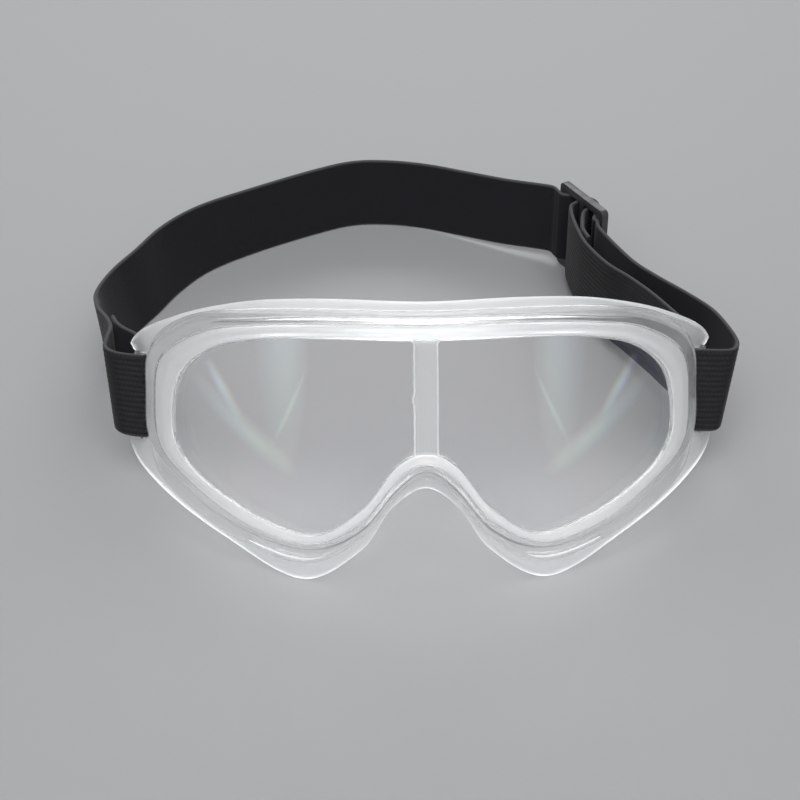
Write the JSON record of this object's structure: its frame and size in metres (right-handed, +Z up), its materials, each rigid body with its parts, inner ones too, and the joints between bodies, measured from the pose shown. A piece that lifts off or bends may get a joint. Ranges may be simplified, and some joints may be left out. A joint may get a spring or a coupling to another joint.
{
  "type": "safety goggles",
  "caption": "Clear wrap-around safety goggles: soft clear body with flared face flange and nose arch, curved lens, black elastic head strap with sliding buckle.",
  "frame": {"origin": "middle of the bounding box, on the table that the goggles stand on", "axes": "+Z up, -Y the way the lens faces, +X to the right of someone looking at the lens"},
  "size_m": [0.2098, 0.2094, 0.0785],
  "materials": {
    "clear_soft_moulding": "soft clear vinyl, glossy, slightly milky, with brighter edges",
    "clear_hard_lens": "clear polished polycarbonate with a faint coloured coating sheen",
    "black_webbing": "matt black woven elastic with fine lengthwise ribs outside and a plain inside face",
    "black_thread": "black sewing thread",
    "dark_buckle_plastic": "dark grey moulded plastic, satin"
  },
  "bodies": {
    "goggle_body": {"frame": "clear_soft_moulding", "lens": "clear_hard_lens"},
    "head_strap": {"strap_left_loop": "black_webbing", "strap_back": "black_webbing", "strap_rear_run": "black_webbing", "strap_outer_run": "black_webbing", "strap_right_fold": "black_webbing", "strap_inner_run": "black_webbing", "stitch_left": "black_thread"},
    "buckle": {"slider": "dark_buckle_plastic", "strap_buckle_weave": "black_webbing", "strap_sewn_loop": "black_webbing", "stitch_buckle": "black_thread"}
  },
  "joints": [
    {"name": "strap_tilt", "type": "hinge", "parent": "goggle_body", "child": "head_strap", "pos_m": [0.00387, -0.03865, 0.02603], "axis": [1, 0, 0], "range_deg": [-30, 35], "deforming": ["strap_left_loop", "strap_right_fold", "stitch_left"]},
    {"name": "buckle_slide", "type": "slide", "parent": "head_strap", "child": "buckle", "axis": [0.338, -0.9411, 0], "range_m": [-0.01, 0.036], "deforming": ["strap_rear_run", "strap_outer_run", "strap_inner_run"]}
  ]
}
